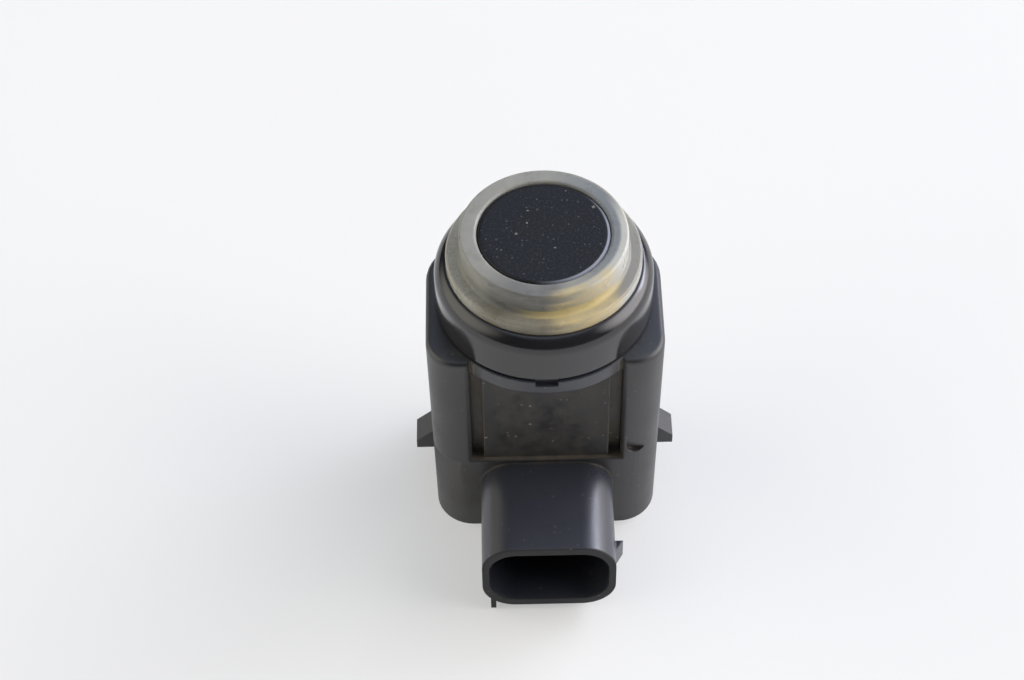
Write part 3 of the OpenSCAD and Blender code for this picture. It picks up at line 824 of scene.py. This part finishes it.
# Brass stamped from strip and plated: warm and bright, with a fine even grain.
STAMPED_BRASS = Finish(
    "brass_stamped", "#bf9d52", "#d2b26a", 0.28, metallic=1.0, grain_mm=0.2, grain_depth_mm=0.004,
    edge_mm=0.06,
)
# Polyurethane poured in from the rear: black, glossy, with a slow ripple.
POURED_RESIN = Finish("polyurethane_poured", "#1b1c1e", "#232427", 0.22, grain_mm=3.0, grain_depth_mm=0.06)
# Painted board: white, matt, with the faintest cloud.
PAINTED_BOARD = Finish(
    "board_painted_white", "#f2f1ee", "#f6f6f4", 0.7, grain_mm=1.5, grain_depth_mm=0.02, mottle_mm=90.0,
)


@dataclass
class SmoothShading:
    """Modifiers that shade the solids' round faces smooth and keep their edges crisp."""

    weld_mm: float = 0.002
    crease_deg: float = 28.0

    def group(self) -> Tree:
        """Build the node group that welds the facets and marks the sharp edges.

        Returns:
            The geometry node group.
        """
        tree = bpy.data.node_groups.new("smooth_round_faces", "GeometryNodeTree")
        tree.interface.new_socket("Geometry", in_out="INPUT", socket_type="NodeSocketGeometry")
        tree.interface.new_socket("Geometry", in_out="OUTPUT", socket_type="NodeSocketGeometry")
        entry = add_node(tree, "NodeGroupInput")
        weld = add_node(tree, "GeometryNodeMergeByDistance", {
            "Geometry": entry.outputs[0], "Distance": self.weld_mm * MM,
        })
        angle = add_node(tree, "GeometryNodeInputMeshEdgeAngle")
        sharp = add_node(tree, "FunctionNodeCompare", {
            0: angle.outputs[0], 1: math.radians(self.crease_deg),
        }, data_type="FLOAT", operation="GREATER_THAN")
        normal = add_node(tree, "GeometryNodeSetMeshNormal", {
            "Mesh": weld.outputs[0], "Remove Custom": True, "Edge Sharpness": sharp.outputs[0],
            "Face Sharpness": False,
        }, mode="SHARPNESS")
        add_node(tree, "NodeGroupOutput", {0: normal.outputs[0]})
        return tree

    def apply(self, obj: bpy.types.Object, group: Tree) -> None:
        """Add the modifiers to one solid.

        Args:
            obj: the solid's object.
            group: the node group of group().
        """
        weld = obj.modifiers.new("smooth_round_faces", "NODES")
        weld.node_group = group
        weighted = obj.modifiers.new("flat_faces_stay_flat", "WEIGHTED_NORMAL")
        weighted.keep_sharp = True
        weighted.mode = "FACE_AREA"


@dataclass
class Dresser:
    """Gives solids their finish, one material for each finish."""

    shading: SmoothShading
    group: Tree

    def dress(self, node: str, finish: Finish) -> None:
        """Put a finish and smooth shading on one solid of the frame.

        Args:
            node: the solid's name.
            finish: the finish that it takes.
        """
        obj = bpy.data.objects[node]
        material = bpy.data.materials.get(finish.name) or finish.material()
        obj.data.materials.clear()
        obj.data.materials.append(material)
        self.shading.apply(obj, self.group)
        log.info("dressed %s in %s", node, material.name)


@dataclass
class SensorHead:
    """The head: collar, soft ring and transducer with what lies behind the membrane."""

    collar: str = "retaining_cap"
    ring: str = "decoupling_ring"
    cup: str = "transducer_cup"

    def dress(self, dresser: Dresser) -> None:
        """Dress the head's solids, the visible ones first.

        Args:
            dresser: what gives them their finish.
        """
        dresser.dress(self.collar, COLLAR_NYLON)
        dresser.dress(self.ring, RING_SILICONE)
        dresser.dress(self.cup, CUP_PRIMER)
        dresser.dress("piezo_disc", PIEZO_CERAMIC)
        dresser.dress("damping_pad", SOFT_FILLER)
        dresser.dress("cup_filler", SOFT_FILLER)
        dresser.dress("foam_disc", CUT_FOAM)
        dresser.dress("signal_lead", RED_INSULATION)
        dresser.dress("ground_lead", BLUE_INSULATION)


@dataclass
class Housing:
    """The moulding with its contact pins and the resin that seals its rear."""

    moulding: str = "housing"
    pins: tuple[str, ...] = ("contact_pin_1", "contact_pin_2", "contact_pin_3")
    seal: str = "potting"

    def dress(self, dresser: Dresser) -> None:
        """Dress the moulding, its pins and its seal.

        Args:
            dresser: what gives them their finish.
        """
        dresser.dress(self.moulding, HOUSING_NYLON)
        for pin in self.pins:
            dresser.dress(pin, STAMPED_BRASS)
        dresser.dress(self.seal, POURED_RESIN)


@dataclass
class Electronics:
    """The circuit board and what is soldered on it."""

    board: str = "circuit_board"
    cases: tuple[str, ...] = ("transformer_bobbin", "capacitor_base", "control_chip", "supply_diode")

    def dress(self, dresser: Dresser) -> None:
        """Dress the board and its components.

        Args:
            dresser: what gives them their finish.
        """
        dresser.dress(self.board, BOARD_LAMINATE)
        for case in self.cases:
            dresser.dress(case, CASE_EPOXY)
        dresser.dress("transformer_winding", WOUND_COPPER)
        dresser.dress("transformer_core", FIRED_FERRITE)
        dresser.dress("capacitor_can", DRAWN_ALUMINIUM)
        dresser.dress("control_chip_leads", TINNED_COPPER)
        dresser.dress("ceramic_capacitors", FIRED_CERAMIC)
        dresser.dress("chip_resistors", CASE_EPOXY)


@dataclass(frozen=True)
class Lamp:
    """A soft rectangular lamp that looks at the sensor."""

    name: str
    azimuth_deg: float
    elevation_deg: float
    distance_m: float
    size_m: tuple[float, float]
    colour: tuple[float, float, float]
    watts: float

    def build(self, target: Vector) -> None:
        """Hang the lamp.

        Args:
            target: the point that it looks at.
        """
        away = toward(self.azimuth_deg, self.elevation_deg)
        data = bpy.data.lights.new(self.name, "AREA")
        data.shape = "RECTANGLE"
        data.size, data.size_y = self.size_m
        data.color = self.colour
        data.energy = self.watts
        obj = bpy.data.objects.new(self.name, data)
        obj.location = target + away * self.distance_m
        obj.rotation_euler = (-away).to_track_quat("-Z", "Y").to_euler()
        bpy.context.scene.collection.objects.link(obj)
        log.info("hung lamp %s", self.name)


@dataclass(frozen=True)
class Glow:
    """A soft bright patch of the room, such as a window or a lit wall."""

    azimuth_deg: float
    elevation_deg: float
    inner_deg: float
    outer_deg: float
    colour: tuple[float, float, float]

    def lay(self, tree: Tree, look: Socket, below: Any) -> Socket:
        """Add the patch to the room's light.

        Args:
            tree: the world's tree.
            look: the direction that is looked in.
            below: the light so far.

        Returns:
            The light with the patch in it.
        """
        cosine = add_node(tree, "ShaderNodeVectorMath", {
            0: look, 1: toward(self.azimuth_deg, self.elevation_deg),
        }, operation="DOT_PRODUCT")
        share = add_node(tree, "ShaderNodeMapRange", {
            "Value": cosine.outputs["Value"], "From Min": math.cos(math.radians(self.outer_deg)),
            "From Max": math.cos(math.radians(self.inner_deg)),
        }, interpolation_type="SMOOTHSTEP")
        total = add_node(tree, "ShaderNodeMix", {
            MIX_SHARE: share.outputs[0], MIX_BELOW: below, MIX_ABOVE: (*self.colour, 1.0),
        }, data_type="RGBA", blend_type="ADD", clamp_result=False)
        return total.outputs[MIX_RESULT]


@dataclass
class Studio:
    """The table, the light and the camera of the photograph.

    The glows are overhead, at the back, on the left and on the right.
    """

    floor_half_m: float = 4.0
    target_mm: tuple[float, float, float] = (0.0, 0.0, 20.0)
    lamps: tuple[Lamp, ...] = (
        Lamp(
            "window", azimuth_deg=38.0, elevation_deg=29.0, distance_m=1.25, size_m=(0.75, 0.36),
            colour=(0.76, 0.81, 1.0), watts=6.2,
        ),
    )
    room: tuple[float, float, float] = (0.02, 0.02, 0.02)
    glows: tuple[Glow, ...] = (
        Glow(90.0, 88.0, 10.0, 40.0, (0.58, 0.66, 0.79)),
        Glow(76.0, 44.0, 6.0, 32.0, (0.68, 0.79, 1.06)),
        Glow(180.0, 25.0, 10.0, 45.0, (1.86, 1.77, 1.55)),
        Glow(6.0, 23.0, 10.0, 43.0, (4.6, 4.4, 4.4)),
    )
    backdrop_colour: str = "#f3f3f3"
    table_lift: float = 0.43
    lift_colour: str = "#f1f1f1"
    camera_mm: tuple[float, float, float] = (-4.35, -184.82, 251.69)
    camera_azimuth_deg: float = 0.134
    camera_pitch_deg: float = 50.906
    camera_roll_deg: float = -1.102
    camera_lens_mm: float = 84.375
    camera_sensor_mm: float = 36.0
    camera_reach_m: tuple[float, float] = (0.01, 50.0)

    def table_paint(self) -> bpy.types.Material:
        """Build the table's white, lifted for the eye and for reflections so that its shadows stay pale.

        Returns:
            The table's material.
        """
        material = PAINTED_BOARD.material()
        tree = material.node_tree
        output = next(n for n in tree.nodes if n.type == "OUTPUT_MATERIAL")
        paint = output.inputs["Surface"].links[0].from_socket
        path = add_node(tree, "ShaderNodeLightPath")
        seen = add_node(tree, "ShaderNodeMath", {
            0: path.outputs["Is Camera Ray"], 1: path.outputs["Is Glossy Ray"],
        }, operation="ADD", use_clamp=True)
        through = add_node(tree, "ShaderNodeMath", {
            0: seen.outputs[0], 1: path.outputs["Is Transmission Ray"],
        }, operation="ADD", use_clamp=True)
        share = add_node(tree, "ShaderNodeMath", {
            0: through.outputs[0], 1: self.table_lift,
        }, operation="MULTIPLY")
        white = add_node(tree, "ShaderNodeEmission", {"Color": linear(self.lift_colour), "Strength": 1.0})
        mix = add_node(tree, "ShaderNodeMixShader", {0: share.outputs[0], 1: paint, 2: white.outputs[0]})
        tree.links.new(mix.outputs[0], output.inputs["Surface"])
        return material

    def table(self) -> None:
        """Lay the pale table under the sensor."""
        half = self.floor_half_m
        mesh = bpy.data.meshes.new("table")
        corners = [(-half, -half, 0.0), (half, -half, 0.0), (half, half, 0.0), (-half, half, 0.0)]
        mesh.from_pydata(corners, [], [(0, 1, 2, 3)])
        obj = bpy.data.objects.new("table", mesh)
        obj.data.materials.append(self.table_paint())
        bpy.context.scene.collection.objects.link(obj)
        log.info("laid the table")

    def sky(self) -> None:
        """Set the room's soft light, which the camera sees as the pale backdrop."""
        world = bpy.data.worlds.new("room")
        world.use_nodes = True
        tree = world.node_tree
        tree.nodes.clear()
        path = add_node(tree, "ShaderNodeLightPath")
        look = add_node(tree, "ShaderNodeTexCoord").outputs["Generated"]
        light: Any = (*self.room, 1.0)
        for glow in self.glows:
            light = glow.lay(tree, look, light)
        room = add_node(tree, "ShaderNodeBackground", {"Color": light, "Strength": 1.0})
        seen = add_node(tree, "ShaderNodeBackground", {
            "Color": linear(self.backdrop_colour), "Strength": 1.0,
        })
        mix = add_node(tree, "ShaderNodeMixShader", {
            0: path.outputs["Is Camera Ray"], 1: room.outputs[0], 2: seen.outputs[0],
        })
        add_node(tree, "ShaderNodeOutputWorld", {0: mix.outputs[0]})
        bpy.context.scene.world = world
        log.info("set the room's light")

    def camera(self) -> None:
        """Stand the camera where the photograph was taken."""
        azimuth = math.radians(self.camera_azimuth_deg)
        pitch = math.radians(self.camera_pitch_deg)
        roll = math.radians(self.camera_roll_deg)
        forward = Vector((
            math.sin(azimuth) * math.cos(pitch), math.cos(azimuth) * math.cos(pitch), -math.sin(pitch),
        ))
        right = Vector((math.cos(azimuth), -math.sin(azimuth), 0.0))
        up = right.cross(forward)
        turned_right = right * math.cos(roll) + up * math.sin(roll)
        turned_up = up * math.cos(roll) - right * math.sin(roll)
        data = bpy.data.cameras.new("photo_camera")
        data.sensor_width = self.camera_sensor_mm
        data.lens = self.camera_lens_mm
        data.clip_start, data.clip_end = self.camera_reach_m
        obj = bpy.data.objects.new("photo_camera", data)
        axes = Matrix((turned_right, turned_up, -forward)).transposed()
        obj.matrix_world = Matrix.Translation(Vector(self.camera_mm) * MM) @ axes.to_4x4()
        bpy.context.scene.collection.objects.link(obj)
        bpy.context.scene.camera = obj
        log.info("stood the camera")

    def build(self) -> None:
        """Build the whole studio."""
        self.table()
        self.sky()
        for lamp in self.lamps:
            lamp.build(Vector(self.target_mm) * MM)
        self.camera()
        bpy.context.scene.view_settings.view_transform = "Standard"


def clear_scene() -> None:
    """Take out the start-up objects."""
    for obj in list(bpy.data.objects):
        bpy.data.objects.remove(obj, do_unlink=True)


def main() -> None:
    """Load the frame, dress its solids and build the studio."""
    logging.basicConfig(level=logging.INFO, format="%(name)s: %(message)s")
    clear_scene()
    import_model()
    Studio().build()
    shading = SmoothShading()
    dresser = Dresser(shading, shading.group())
    Housing().dress(dresser)
    SensorHead().dress(dresser)
    Electronics().dress(dresser)
    bpy.context.view_layer.update()


if __name__ == "__main__":
    main()
